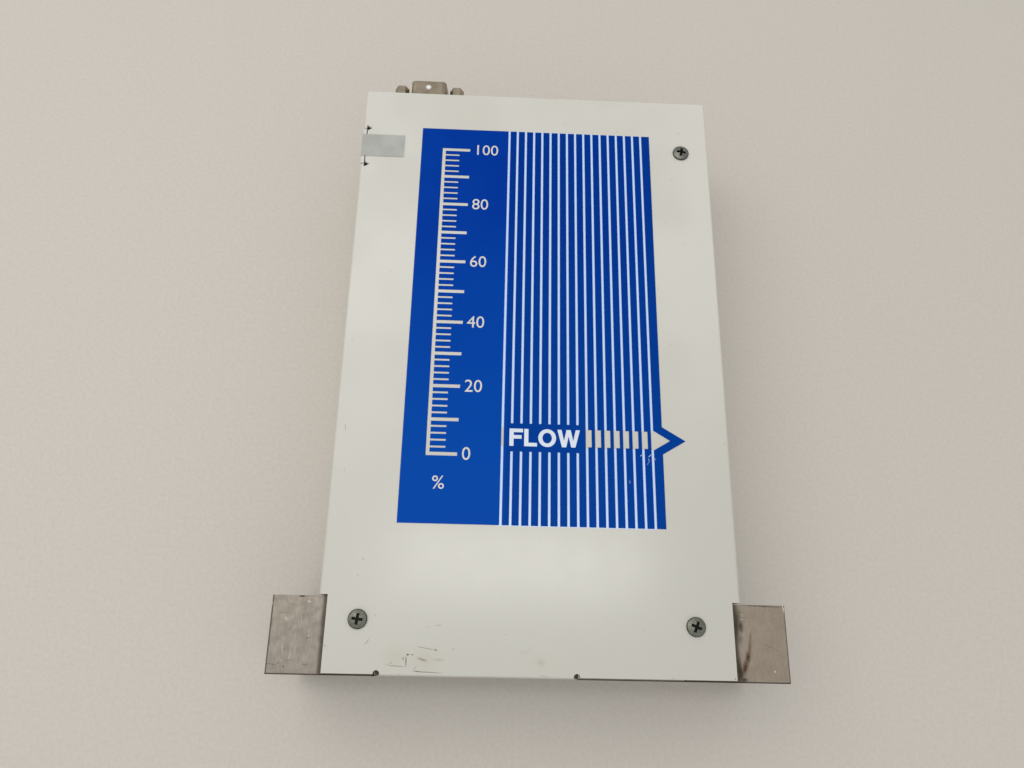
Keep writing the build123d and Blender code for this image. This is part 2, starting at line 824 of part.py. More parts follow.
def boardScrews():
    screws = []
    for x, y in boardHolePlaces():
        seat_z = main_board_z + board_thickness
        head = rodZ(board_screw_head_radius, x, y, seat_z, seat_z + board_screw_head_height)
        shank = rodZ(board_screw_radius, x, y, seat_z - board_screw_length, seat_z)
        screws.append(head + shank)
    return group(screws)


# Connector

def connectorShell():
    """Flange plate with a thin D-shaped skirt."""
    half = shell_flange_length / 2
    low_z = connector_z - shell_flange_height / 2
    high_z = connector_z + shell_flange_height / 2
    flange_y = case_height + shell_flange_thickness
    shell = block(connector_x - half, connector_x + half, case_height, flange_y, low_z, high_z)
    shell = fillet(shell.edges().filter_by(Axis.Y), shell_corner)
    shell += connectorPrism(0, case_height, shell_end_y)
    shell -= connectorPrism(-shell_wall, case_height - sheet, shell_end_y + sheet)
    hole_radius = jackpost_shank_radius + thread_clearance
    for side in (-1, 1):
        x = connector_x + side * jackpost_pitch / 2
        shell -= rodY(hole_radius, x, connector_z, case_height - sheet, flange_y + sheet)
    return shell


def contactPlaces():
    """Five contacts on the wide side and four on the narrow side."""
    places = []
    for row_z, count in ((-contact_row_pitch / 2, 5), (contact_row_pitch / 2, 4)):
        for index in range(count):
            offset = (index - (count - 1) / 2) * contact_pitch
            places.append((connector_x + offset, connector_z + row_z))
    return places


def connectorInsulator():
    body = connectorPrism(-shell_wall - connector_fit, connector_board_high_y, shell_end_y - insulator_recess)
    for x, z in contactPlaces():
        body -= rodY(contact_hole_radius, x, z, connector_board_high_y - sheet, shell_end_y)
    return body


def connectorContacts():
    high_y = shell_end_y - insulator_recess - contact_recess
    return group(rodY(contact_radius, x, z, connector_board_high_y, high_y) for x, z in contactPlaces())


def connectorBoard():
    middle_y = (connector_board_low_y + connector_board_high_y) / 2
    board_z = panel_face_z - wall_clearance - connector_board_height / 2
    board = Box(connector_board_width, connector_board_thickness, connector_board_height)
    return Pos(connector_x, middle_y, board_z) * board


def jackposts():
    seat_y = case_height + shell_flange_thickness
    end_y = shell_end_y - jackpost_recess
    tail_y = wall_inner_y - jackpost_nut_height - jackpost_tail
    bore_low_y = end_y - jackpost_bore_depth
    posts = []
    for side in (-1, 1):
        x = connector_x + side * jackpost_pitch / 2
        post = alongY(x, seat_y, connector_z) * hexPrism(jackpost_radius, end_y - seat_y)
        post += rodY(jackpost_shank_radius, x, connector_z, tail_y, seat_y)
        posts.append(post - rodY(jackpost_bore_radius, x, connector_z, bore_low_y, end_y + sheet))
    return group(posts)


def jackpostNuts():
    nuts = []
    for side in (-1, 1):
        x = connector_x + side * jackpost_pitch / 2
        low_y = wall_inner_y - jackpost_nut_height
        nut = alongY(x, low_y, connector_z) * hexPrism(jackpost_nut_radius, jackpost_nut_height)
        bore = rodY(jackpost_shank_radius + thread_clearance, x, connector_z, low_y - sheet, case_height)
        nuts.append(nut - bore)
    return group(nuts)


# Print

def printLine(number):
    """Left edge of a white line, counted from the band."""
    return print_left_x + band_width + (number - 1) * line_pitch


def scaleGaps(low_z, high_z):
    """Clear spine and ticks of the percent scale in the solid band."""
    low_y = print_low_y + scale_rise
    high_y = print_high_y - scale_drop
    left_x = print_left_x + scale_inset
    root_x = left_x + spine_width
    gaps = []
    for step in range(scale_steps + 1):
        is_long = step % steps_per_long_tick == 0
        length = long_tick if is_long else short_tick
        half = (long_tick_width if is_long else short_tick_width) / 2
        y = low_y + (high_y - low_y) * step / scale_steps
        gaps.append(block(left_x, root_x + length, y - half, y + half, low_z, high_z))
    spine = block(left_x, root_x, low_y, high_y, low_z, high_z)
    return spine + gaps


def flowPrint():
    """Blue field with clear lines through it, an arrowhead and its outline."""
    low_z = case_depth
    high_z = case_depth + print_thickness
    over = line_width
    under_z = low_z - over
    over_z = high_z + over
    ink = block(print_left_x, print_right_x, print_low_y, print_high_y, low_z, high_z)
    chevron_x = print_right_x + chevron_length
    low_y = arrow_y - chevron_height / 2
    high_y = arrow_y + chevron_height / 2
    chevron_points = [(print_right_x, low_y), (chevron_x, arrow_y), (print_right_x, high_y)]
    chevron = make_face(Polyline(*chevron_points, close=True))
    ink += Pos(0, 0, low_z) * extrude(chevron, print_thickness)
    for number in range(1, line_count + 1):
        left_x = printLine(number)
        right_x = left_x + line_width
        if first_word_line <= number <= last_word_line:
            ink -= block(left_x, right_x, print_low_y - over, word_low_y, under_z, over_z)
            ink -= block(left_x, right_x, word_high_y, print_high_y + over, under_z, over_z)
        else:
            ink -= block(left_x, right_x, print_low_y - over, print_high_y + over, under_z, over_z)
        if first_dash_line <= number <= last_dash_line:
            ink -= block(left_x, left_x + dash_width, dash_low_y, dash_high_y, under_z, over_z)
    head_x = printLine(line_count)
    low_y = arrow_y - arrow_height / 2
    high_y = arrow_y + arrow_height / 2
    tip_x = print_right_x + arrow_length
    head = make_face(Polyline((head_x, low_y), (tip_x, arrow_y), (head_x, high_y), close=True))
    ink -= Pos(0, 0, under_z) * extrude(head, over_z - under_z)
    ink -= scaleGaps(under_z, over_z)
    return group(ink.solids())


nodes = {
    "front_cover": frontCover(),
    "rear_cover": rearCover(),
    "seal_label": sealLabel(),
    "front_cover_screws": frontCoverScrews(),
    "rear_cover_screws": rearCoverScrews(),
    "cover_post": coverPost(),
    "inlet_block": endBlock(-1),
    "outlet_block": endBlock(1),
    "valve_body": valveBody(),
    "block_bolts": blockBolts(),
    "block_gaskets": blockGaskets(),
    "inlet_filter": inletFilter(),
    "orifice_plate": orificePlate(),
    "valve_diaphragm": valveDiaphragm(),
    "valve_bonnet": valveBonnet(),
    "bonnet_screws": clampScrews(valve_x),
    "diaphragm_press": diaphragmPress(),
    "actuator_tube": actuatorTube(),
    "piezo_stack": piezoStack(),
    "thrust_ball": thrustBall(),
    "adjusting_cap": adjustingCap(),
    "lock_nut": lockNut(),
    "sensor_gasket": sensorGasket(),
    "pressure_sensor": pressureSensor(),
    "sensor_clamp": sensorClamp(),
    "sensor_screws": clampScrews(sensor_x),
    "temperature_sensor": temperatureSensor(),
    "main_board": mainBoard(),
    "main_board_chips": mainBoardChips(),
    "power_board": boardPlate(power_board_z),
    "power_board_parts": powerBoardParts(),
    "board_link": boardLink(),
    "lower_standoffs": lowerStandoffs(),
    "upper_standoffs": upperStandoffs(),
    "board_screws": boardScrews(),
    "connector_shell": connectorShell(),
    "connector_insulator": connectorInsulator(),
    "connector_contacts": connectorContacts(),
    "connector_board": connectorBoard(),
    "jackposts": jackposts(),
    "jackpost_nuts": jackpostNuts(),
    "flow_print": flowPrint(),
}

# The origin is at the middle of the footprint, on the rear cover's outer face.
os.makedirs("parts", exist_ok=True)
for name, shape in nodes.items():
    export_step(Pos(0, -overall_length / 2, 0) * shape, f"parts/{name}.step")
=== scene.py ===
import json
import math
import bmesh
import bpy
from mathutils import Euler, Matrix, Vector


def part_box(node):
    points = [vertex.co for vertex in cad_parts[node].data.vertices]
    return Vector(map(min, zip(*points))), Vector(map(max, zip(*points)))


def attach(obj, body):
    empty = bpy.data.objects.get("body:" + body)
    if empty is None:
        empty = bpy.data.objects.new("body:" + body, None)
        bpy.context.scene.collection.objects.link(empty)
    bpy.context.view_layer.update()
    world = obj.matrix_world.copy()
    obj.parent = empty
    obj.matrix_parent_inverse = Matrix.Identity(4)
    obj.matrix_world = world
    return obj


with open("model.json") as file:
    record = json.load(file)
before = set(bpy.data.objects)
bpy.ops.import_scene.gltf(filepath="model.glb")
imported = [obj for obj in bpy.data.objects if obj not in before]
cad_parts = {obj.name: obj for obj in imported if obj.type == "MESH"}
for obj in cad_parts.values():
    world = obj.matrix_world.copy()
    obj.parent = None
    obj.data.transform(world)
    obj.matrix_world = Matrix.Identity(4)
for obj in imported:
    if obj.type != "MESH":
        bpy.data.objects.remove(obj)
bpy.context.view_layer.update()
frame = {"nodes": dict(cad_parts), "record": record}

mm = 0.001
nodes = frame["nodes"]
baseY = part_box("valve_body")[0][1]      # the base's mounting plane
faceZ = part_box("front_cover")[1][2]     # the front cover's outer face
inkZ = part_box("flow_print")[1][2]       # top of the blue ink
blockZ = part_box("inlet_block")[1][2]    # broad face of the end blocks


def place(x, y, z):
    # x from the case's middle and y from the mounting plane in mm, z in metres
    return Vector((x * mm, baseY + y * mm, z))


# Camera: seen from above the base, a little left of the middle

camera = {
    "x": -9.9, "y": 6.4, "height": 162.1,
    "tilt": 18.71, "roll": -2.15, "turn": 1.1,
    "lens": 27.0, "sensor": 36.0,
}


def makeCamera(sizes):
    data = bpy.data.cameras.new("camera")
    data.lens = sizes["lens"]
    data.sensor_width = sizes["sensor"]
    data.clip_start = 0.01
    holder = bpy.data.objects.new("camera", data)
    bpy.context.collection.objects.link(holder)
    holder.location = place(sizes["x"], sizes["y"], faceZ + sizes["height"] * mm)
    angles = [math.radians(sizes[key]) for key in ("tilt", "roll", "turn")]
    holder.rotation_euler = Euler(angles, "XYZ")
    bpy.context.scene.camera = holder


makeCamera(camera)
print("camera placed")


# Helpers for materials

def linear(hexColour):
    channels = [int(hexColour[i:i + 2], 16) / 255 for i in (1, 3, 5)]
    return [c / 12.92 if c <= 0.04045 else ((c + 0.055) / 1.055) ** 2.4 for c in channels] + [1.0]


def addNode(tree, kind, settings=None, inputs=None):
    made = tree.nodes.new(kind)
    for key, value in (settings or {}).items():
        setattr(made, key, value)
    for socket, value in (inputs or {}).items():
        if isinstance(value, bpy.types.NodeSocket):
            tree.links.new(value, made.inputs[socket])
        else:
            made.inputs[socket].default_value = value
    return made


def newMaterial(name, metallic=0.0, roughness=0.5, ior=None):
    made = bpy.data.materials.new(name)
    made.use_nodes = True
    tree = made.node_tree
    shader = tree.nodes["Principled BSDF"]
    shader.inputs["Metallic"].default_value = metallic
    shader.inputs["Roughness"].default_value = roughness
    if ior:
        shader.inputs["IOR"].default_value = ior
    coords = addNode(tree, "ShaderNodeTexCoord").outputs["Object"]
    return made, tree, shader, coords


def axis(tree, coords, letter):
    return addNode(tree, "ShaderNodeSeparateXYZ", {}, {0: coords}).outputs[letter]


def noise(tree, coords, sizeMm, detail=3.0, coarse=0.55, stretch=(1, 1, 1)):
    # Noise whose lumps are about sizeMm across
    scaled = addNode(tree, "ShaderNodeMapping", {}, {"Vector": coords, "Scale": stretch})
    scale = 1 / (sizeMm * mm)
    settings = {"Vector": scaled.outputs[0], "Scale": scale, "Detail": detail, "Roughness": coarse}
    return addNode(tree, "ShaderNodeTexNoise", {}, settings).outputs["Fac"]


def ramp(tree, value, low, high, lowOut=0.0, highOut=1.0, kind="SMOOTHSTEP"):
    inputs = {"Value": value, "From Min": low, "From Max": high, "To Min": lowOut, "To Max": highOut}
    return addNode(tree, "ShaderNodeMapRange", {"interpolation_type": kind}, inputs).outputs["Result"]


def mix(tree, amount, first, second, blend="MIX"):
    settings = {"data_type": "RGBA", "blend_type": blend}
    return addNode(tree, "ShaderNodeMix", settings, {0: amount, 6: first, 7: second}).outputs[2]


def times(tree, first, second):
    return addNode(tree, "ShaderNodeMath", {"operation": "MULTIPLY"}, {0: first, 1: second}).outputs[0]


def larger(tree, first, second):
    return addNode(tree, "ShaderNodeMath", {"operation": "MAXIMUM"}, {0: first, 1: second}).outputs[0]


def vectorMath(tree, operation, inputs):
    return addNode(tree, "ShaderNodeVectorMath", {"operation": operation}, inputs).outputs[0]


def bump(tree, shader, height, depthMm, strength=1.0):
    inputs = {"Strength": strength, "Distance": depthMm * mm, "Height": height}
    made = addNode(tree, "ShaderNodeBump", {}, inputs)
    tree.links.new(made.outputs[0], shader.inputs["Normal"])


def glossRange(tree, shader, value, middle, spread):
    gloss = ramp(tree, value, 0.3, 0.7, middle - spread, middle + spread)
    tree.links.new(gloss, shader.inputs["Roughness"])


def rough(tree, coords, amountMm, sizeMm):
    # Coordinates shaken a little, so that a mark's outline isn't a clean ellipse
    scale = 1 / (sizeMm * mm)
    wobble = addNode(tree, "ShaderNodeTexNoise", {}, {"Vector": coords, "Scale": scale, "Detail": 2.0})
    centred = vectorMath(tree, "SUBTRACT", {0: wobble.outputs["Color"], 1: (0.5, 0.5, 0.5)})
    small = vectorMath(tree, "SCALE", {0: centred, "Scale": amountMm * mm})
    return vectorMath(tree, "ADD", {0: coords, 1: small})


markSpread = 1.5    # the soft rim takes this much more room than the mark's own size


def mark(tree, coords, z, x, y, length, width, angle, strength, softness):
    # Mask of one elongated mark, 0 outside and up to strength inside
    inputs = {
        "Vector": coords,
        "Location": place(x, y, z),
        "Rotation": (0, 0, math.radians(angle)),
        "Scale": (length / 2 * markSpread * mm, width / 2 * markSpread * mm, mm),
    }
    local = addNode(tree, "ShaderNodeMapping", {"vector_type": "TEXTURE"}, inputs)
    away = addNode(tree, "ShaderNodeVectorMath", {"operation": "LENGTH"}, {0: local.outputs[0]})
    return ramp(tree, away.outputs["Value"], 1 - softness, 1.0, strength, 0.0)


def window(tree, coords, left, right, low, high, soft):
    # Mask of a rectangle on the faces that point up, 1 inside. Sizes in mm
    start, end = place(left, low, 0), place(right, high, 0)
    across, along = axis(tree, coords, "X"), axis(tree, coords, "Y")
    inside = ramp(tree, across, start.x - soft * mm, start.x)
    inside = times(tree, inside, ramp(tree, across, end.x, end.x + soft * mm, 1.0, 0.0))
    inside = times(tree, inside, ramp(tree, along, start.y - soft * mm, start.y))
    return times(tree, inside, ramp(tree, along, end.y, end.y + soft * mm, 1.0, 0.0))


def allMarks(tree, coords, z, marks):
    mask = None
    for entry in marks:
        one = mark(tree, coords, z, *entry)
        mask = one if mask is None else larger(tree, mask, one)
    return mask


# Finishes

paint = {
    "colour": "#CFCCC2", "shade": "#C9C6BB", "nearEndShade": "#C0BDB2", "nearY": 10.0, "farY": 95.0,
    "dirt": "#8F887A", "warm": "#B8B29F", "line": "#45403A",
    "haze": "#C2D6F4", "patchSize": 30.0, "peelSize": 0.7, "peelDepth": 0.004, "roughness": 0.2,
}

# The paint has a bluish haze where it shows through the print's lines, below and above the word's row
hazeBelow = {"left": -7.2, "right": 26.2, "low": 30.1, "high": 47.0, "soft": 0.3}
hazeAbove = {"left": -7.2, "right": 26.2, "low": 51.6, "high": 128.2, "soft": 0.3}

# Marks: x, y, length and width in mm, angle in degrees, strength, softness
coverScuffs = [
    (-32.7, 6.4, 1.3, 0.16, 50, 0.55, 0.6),
    (-24.75, 2.85, 0.22, 1.9, 2, 0.85, 0.7),
    (-24.45, 4.15, 0.5, 0.35, 0, 0.9, 0.7),
    (-23.6, 4.1, 0.5, 0.25, 0, 0.6, 0.7),
    (-26.7, 2.0, 3.8, 0.18, -4, 0.5, 0.7),
    (-27.8, 2.5, 0.6, 0.14, 30, 0.5, 0.6),
    (-21.6, 3.3, 2.0, 0.45, -15, 0.6, 0.9),
    (-18.3, 3.3, 2.4, 0.5, 0, 0.22, 1.0),
    (-23.0, 1.5, 1.4, 0.2, 60, 0.4, 0.9),
    (-20.4, 0.95, 5.2, 0.16, -2, 0.75, 0.7),
    (-22.3, 1.05, 1.4, 0.22, -8, 0.8, 0.7),
    (-21.0, 5.4, 3.6, 0.18, -9, 0.45, 0.7),
    (-18.95, 5.1, 0.45, 0.35, 0, 0.85, 0.7),
    (-25.3, 3.4, 0.35, 0.7, 0, 0.6, 0.9),
    (-18.65, 9.8, 1.6, 0.25, 12, 0.3, 0.9),
    (-20.8, 9.5, 1.2, 0.25, 6, 0.16, 0.9),
    (-1.8, 5.0, 0.9, 0.14, -45, 0.3, 0.9),
    (-0.9, 5.0, 0.9, 0.14, 45, 0.3, 0.9),
    (-0.1, 5.6, 0.14, 0.9, 0, 0.3, 0.9),
    (-21.2, 3.0, 1.4, 0.12, -20, 0.35, 0.9),
    (-15.5, 5.4, 0.6, 0.18, 30, 0.45, 0.8),
    (2.7, 0.65, 2.0, 0.12, 0, 0.45, 0.7),
    (2.0, 3.1, 1.8, 1.5, 0, 0.12, 0.9),
    (28.4, 0.65, 0.9, 0.14, 0, 0.35, 0.8),
    (40.9, 0.8, 0.3, 0.25, 0, 0.8, 0.7),
    (-40.9, 5.5, 0.35, 0.35, 0, 0.5, 0.8),
    (-40.9, 50.5, 0.25, 1.6, 8, 0.35, 0.8),
    (-40.2, 41.0, 0.2, 1.2, -6, 0.3, 0.8),
    (35.9, 129.6, 0.35, 0.35, 0, 0.5, 0.8),
    (31.1, 119.6, 0.4, 0.2, 20, 0.35, 0.8),
]
coverPatches = [
    (-27.0, 3.8, 5.0, 4.4, 0, 0.5, 1.0),
    (-21.0, 3.2, 6.0, 4.8, 0, 0.5, 1.0),
    (2.0, 3.0, 5.0, 4.0, 0, 0.22, 1.0),
]


def powderCoat(name, withMarks):
    # Off-white powder coat on folded sheet: satin, with a faint orange peel
    made, tree, shader, coords = newMaterial(name, 0.0, paint["roughness"], 1.5)
    broad = ramp(tree, noise(tree, coords, paint["patchSize"], 2.0), 0.35, 0.65)
    colour = mix(tree, broad, linear(paint["colour"]), linear(paint["shade"]))
    if withMarks:
        # Painted shade: the paint is darker towards the near end, standing in for less light falling
        # there
        near, far = place(0, paint["nearY"], 0).y, place(0, paint["farY"], 0).y
        endShade = ramp(tree, axis(tree, coords, "Y"), near, far, 1.0, 0.0)
        colour = mix(tree, endShade, colour, linear(paint["nearEndShade"]))
        above = window(tree, coords, *hazeAbove.values())
        haze = larger(tree, above, window(tree, coords, *hazeBelow.values()))
        colour = mix(tree, haze, colour, linear(paint["haze"]))
        shaken = rough(tree, coords, 0.25, 0.8)
        patches = allMarks(tree, shaken, faceZ, coverPatches)
        colour = mix(tree, patches, colour, linear(paint["warm"]))
        scuffs = allMarks(tree, shaken, faceZ, coverScuffs)
        broken = ramp(tree, noise(tree, coords, 0.25, 2.0), 0.3, 0.5, 0.6, 1.0)
        colour = mix(tree, times(tree, scuffs, broken), colour, linear(paint["line"]))
    specks = ramp(tree, noise(tree, coords, 1.1, 1.0), 0.74, 0.8, 0.0, 0.3)
    colour = mix(tree, specks, colour, linear(paint["dirt"]))
    tree.links.new(colour, shader.inputs["Base Color"])
    glossRange(tree, shader, noise(tree, coords, 6.0), paint["roughness"], 0.015)
    bump(tree, shader, noise(tree, coords, paint["peelSize"], 1.5), paint["peelDepth"])
    return made


ink = {
    "colour": "#003293", "light": "#0446A3", "deep": "#002E78", "bare": "#BFD3E6",
    "grain": 0.5, "roughness": 0.3, "ior": 1.08, "lowY": 35.0, "highY": 120.0, "stripeDepth": 0.5,
}
inkStripes = {"left": -5.6, "right": 40.0, "low": 20.0, "high": 140.0, "soft": 1.2}

# Small flakes knocked out of the ink beside the arrow
inkFlakes = [
    (23.55, 45.9, 0.5, 0.13, 55, 0.9, 0.6),
    (25.5, 45.95, 0.9, 0.14, 40, 0.95, 0.6),
    (25.2, 44.9, 0.3, 0.9, 12, 0.45, 0.9),
    (26.5, 45.2, 0.35, 0.6, 30, 0.3, 0.9),
    (25.0, 44.2, 0.8, 0.12, 60, 0.5, 0.8),
    (20.2, 36.0, 0.35, 0.3, 0, 0.6, 0.8),
    (20.9, 40.0, 0.3, 0.8, 0, 0.3, 0.9),
    (13.5, 42.8, 0.5, 0.2, 40, 0.25, 0.9),
]


def screenInk():
    # Blue screen-printed ink, a little glossier than the paint under it
    made, tree, shader, coords = newMaterial("blueScreenInk", 0.0, ink["roughness"], ink["ior"])
    low, high = place(0, ink["lowY"], 0).y, place(0, ink["highY"], 0).y
    depth = ramp(tree, axis(tree, coords, "Y"), low, high)
    depth = times(tree, depth, ramp(tree, noise(tree, coords, 22.0, 2.0), 0.3, 0.7, 0.7, 1.0))
    colour = mix(tree, depth, linear(ink["light"]), linear(ink["colour"]))
    striped = times(tree, window(tree, coords, *inkStripes.values()), ink["stripeDepth"])
    colour = mix(tree, striped, colour, linear(ink["deep"]))
    shaken = rough(tree, coords, 0.3, 0.5)
    flakes = allMarks(tree, shaken, inkZ, inkFlakes)
    colour = mix(tree, flakes, colour, linear(ink["bare"]))
    tree.links.new(colour, shader.inputs["Base Color"])
    bump(tree, shader, noise(tree, coords, ink["grain"], 2.0), 0.003)
    return made


def clearedInk(name, first, second):
    # Paint that shows through the letters and figures of the print
    made, tree, shader, coords = newMaterial(name, 0.0, paint["roughness"], 1.5)
    grain = ramp(tree, noise(tree, coords, 3.0, 2.0), 0.3, 0.7)
    tree.links.new(mix(tree, grain, linear(first), linear(second)), shader.inputs["Base Color"])
    bump(tree, shader, noise(tree, coords, paint["peelSize"], 1.5), 0.003)
    return made


# In blockSteel, edge is the dark colour of the painted shade along the block edges and of the cover's
# painted shadow on the blocks
blockSteel = {
    "inlet": "#898177", "outlet": "#968A7B", "plain": "#8F887D", "edge": "#3B352E", "lay": 6.0,
    "roughness": 0.44, "grain": 0.12, "cornerDark": 0.8, "faceDepth": 0.5,
}
blockFace = {"left": -52.2, "right": 52.2, "low": 0.35, "high": 14.95, "soft": 0.25}
coverShadow = {"left": -41.8, "right": 41.8, "low": -1.0, "high": 15.6, "soft": 0.9}

# Scratches, grime and bright flecks on each end block. On the outlet block the grime beside the cover is
# partly painted shade
inletScratches = [
    (-46.5, 15.0, 1.0, 0.5, 0, 0.9, 0.7),
    (-48.8, 1.5, 0.3, 0.6, 20, 0.6, 0.8),
    (-49.9, 2.2, 0.5, 0.3, 60, 0.5, 0.8),
    (-51.5, 1.9, 2.4, 0.12, -6, 0.6, 0.8),
    (-44.8, 1.9, 0.9, 0.14, 0, 0.6, 0.8),
    (-49.8, 11.7, 2.2, 0.25, 12, 0.35, 1.0),
    (-48.3, 8.8, 0.9, 0.2, 50, 0.3, 1.0),
    (-44.6, 7.0, 0.8, 0.5, 20, 0.35, 1.0),
    (-52.0, 9.5, 0.2, 1.4, -6, 0.4, 1.0),
    (-52.1, 6.0, 0.2, 1.0, -6, 0.4, 1.0),
]
inletFlecks = [
    (-52.45, 13.4, 0.3, 0.6, 0, 0.8, 0.7),
    (-45.1, 13.9, 0.45, 0.16, -40, 0.6, 0.8),
    (-44.5, 7.3, 0.3, 0.16, 60, 0.5, 0.8),
    (-49.3, 2.6, 0.25, 0.16, 0, 0.35, 0.8),
    (-47.9, 3.1, 0.4, 0.2, 0, 0.25, 0.9),
    (-49.4, 4.6, 0.14, 2.4, 4, 0.18, 0.9),
    (-47.8, 4.2, 0.14, 2.8, -2, 0.18, 0.9),
    (-46.3, 11.0, 0.12, 3.2, 8, 0.14, 0.9),
    (-49.3, 10.6, 0.5, 0.9, 30, 0.12, 0.9),
]
outletGrimeAndShade = [
    (42.3, 11.6, 1.5, 7.4, -3, 0.75, 1.0),
    (42.9, 10.8, 1.3, 2.4, 0, 0.8, 0.9),
    (42.9, 13.6, 2.0, 0.2, -8, 0.5, 0.9),
    (43.0, 12.7, 2.2, 0.2, -6, 0.5, 0.9),
    (42.9, 11.9, 1.8, 0.2, -4, 0.5, 0.9),
    (42.6, 8.3, 1.1, 2.6, 0, 0.5, 1.0),
    (42.3, 2.0, 1.2, 5.4, 4, 0.85, 0.9),
    (42.9, 0.6, 1.5, 0.9, 0, 0.85, 0.9),
    (48.7, 6.9, 4.4, 0.18, -22, 0.3, 0.9),
    (47.6, 14.9, 9.6, 0.35, -2, 0.6, 1.0),
]
outletStreak = [
    (44.75, 8.5, 0.5, 3.0, -6, 0.55, 1.0),
    (44.45, 6.6, 0.8, 3.2, -10, 0.75, 1.0),
    (44.0, 4.8, 1.1, 3.4, -14, 0.95, 0.9),
    (43.3, 2.9, 1.1, 3.6, -14, 0.95, 0.9),
    (44.3, 6.0, 1.5, 0.2, 8, 0.6, 0.9),
    (44.2, 5.3, 1.6, 0.2, 8, 0.7, 0.9),
    (43.9, 4.4, 1.6, 0.2, 6, 0.7, 0.9),
]
outletFlecks = [
    (49.3, 2.3, 0.28, 0.28, 0, 0.7, 0.8),
    (52.2, 14.4, 0.35, 1.6, 6, 1.0, 0.8),
    (50.2, 13.0, 0.25, 0.25, 0, 0.2, 0.8),
]


def upperFace(tree, coords, level, depthMm):
    # 1 on the face at that height in metres, 0 from depthMm below it
    return ramp(tree, axis(tree, coords, "Z"), level - depthMm * mm, level - 0.2 * depthMm * mm)


def milledSteel(name, tone, marks=(), flecks=(), streak=()):
    # Stainless steel, milled and lightly blasted: a satin face with a faint lay, handling marks and
    # painted shade along its edges and beside the cover
    made, tree, shader, coords = newMaterial(name, 1.0, blockSteel["roughness"])
    steel = linear(blockSteel[tone])
    broad = ramp(tree, noise(tree, coords, 4.0, 3.0), 0.3, 0.7, 0.95, 1.03)
    lay = noise(tree, coords, 0.3, 2.0, 0.6, (1, 1 / blockSteel["lay"], 1))
    shade = times(tree, broad, ramp(tree, lay, 0.25, 0.75, 0.92, 1.06))
    colour = mix(tree, 1.0, shade, steel, "MULTIPLY")
    # Painted shade: a thin dark line along the rim of the blocks' broad face, where the chamfers fall
    # into shade
    face = upperFace(tree, coords, blockZ, blockSteel["faceDepth"])
    inner = window(tree, coords, *blockFace.values())
    edgeShadeMask = ramp(tree, inner, 0.0, 1.0, 1.0, 0.0, "LINEAR")
    colour = mix(tree, times(tree, face, edgeShadeMask), colour, linear(blockSteel["edge"]))
    if tone != "plain":
        corner = times(tree, window(tree, coords, *coverShadow.values()), blockSteel["cornerDark"])
        colour = mix(tree, times(tree, face, corner), colour, linear(blockSteel["edge"]))
    shaken = rough(tree, coords, 0.4, 0.6)
    if flecks:
        colour = mix(tree, allMarks(tree, shaken, blockZ, flecks), colour, linear("#F2EEE6"))
    # Dark marks: scratches and grime; on the outlet block beside the cover they are partly painted shade
    if marks:
        colour = mix(tree, allMarks(tree, shaken, blockZ, marks), colour, linear("#2B2620"))
    if streak:
        broken = ramp(tree, noise(tree, coords, 0.3, 2.0, 0.6, (0.4, 1.5, 1)), 0.3, 0.55, 0.6, 1.0)
        stain = times(tree, allMarks(tree, shaken, blockZ, streak), broken)
        colour = mix(tree, stain, colour, linear("#4A3222"))
    tree.links.new(colour, shader.inputs["Base Color"])
    glossRange(tree, shader, noise(tree, coords, 1.6), blockSteel["roughness"], 0.08)
    bump(tree, shader, noise(tree, coords, blockSteel["grain"], 3.0), 0.004)
    return made


def turnedSteel():
    # Fine turned stainless steel of the inner parts
    made, tree, shader, coords = newMaterial("turnedStainless", 1.0, 0.3)
    rings = noise(tree, coords, 0.3, 2.0, 0.5, (0.05, 1, 0.05))
    tree.links.new(mix(tree, rings, linear("#C4C1BA"), linear("#A8A49C")), shader.inputs["Base Color"])
    bump(tree, shader, rings, 0.003)
    return made


# Heights above the cover's face between which the painted shade in a screw's cross fades out. Below the
# head's rim only a share of it is left
recessShade = {
    "full": 0.36, "gone": 0.46, "rimLow": 0.33, "rimHigh": 0.345, "strength": 0.95, "rimShare": 0.35,
}


def screwSteel():
    # Dull grey screw steel with painted shade low in the cross and under the rim
    made, tree, shader, coords = newMaterial("zincPlatedScrewSteel", 1.0, 0.42)
    grain = ramp(tree, noise(tree, coords, 0.35, 4.0), 0.3, 0.7)
    colour = mix(tree, grain, linear("#85857A"), linear("#67675E"))
    height = axis(tree, coords, "Z")
    full, gone = faceZ + recessShade["full"] * mm, faceZ + recessShade["gone"] * mm
    rimLow, rimHigh = faceZ + recessShade["rimLow"] * mm, faceZ + recessShade["rimHigh"] * mm
    low = ramp(tree, height, full, gone, recessShade["strength"], 0.0)
    aboveRim = ramp(tree, height, rimLow, rimHigh, recessShade["rimShare"], 1.0)
    colour = mix(tree, times(tree, low, aboveRim), colour, linear("#0E0D0B"))
    tree.links.new(colour, shader.inputs["Base Color"])
    bump(tree, shader, noise(tree, coords, 0.15, 2.0), 0.006)
    return made


# A painted highlight: a near-white spot standing in for a lamp's glint on the shell's near corner, below
# the cover's face
shellGlint = {"x": -28.06, "y": 143.59, "drop": 3.35, "size": 1.3, "strength": 0.9, "softness": 0.8}


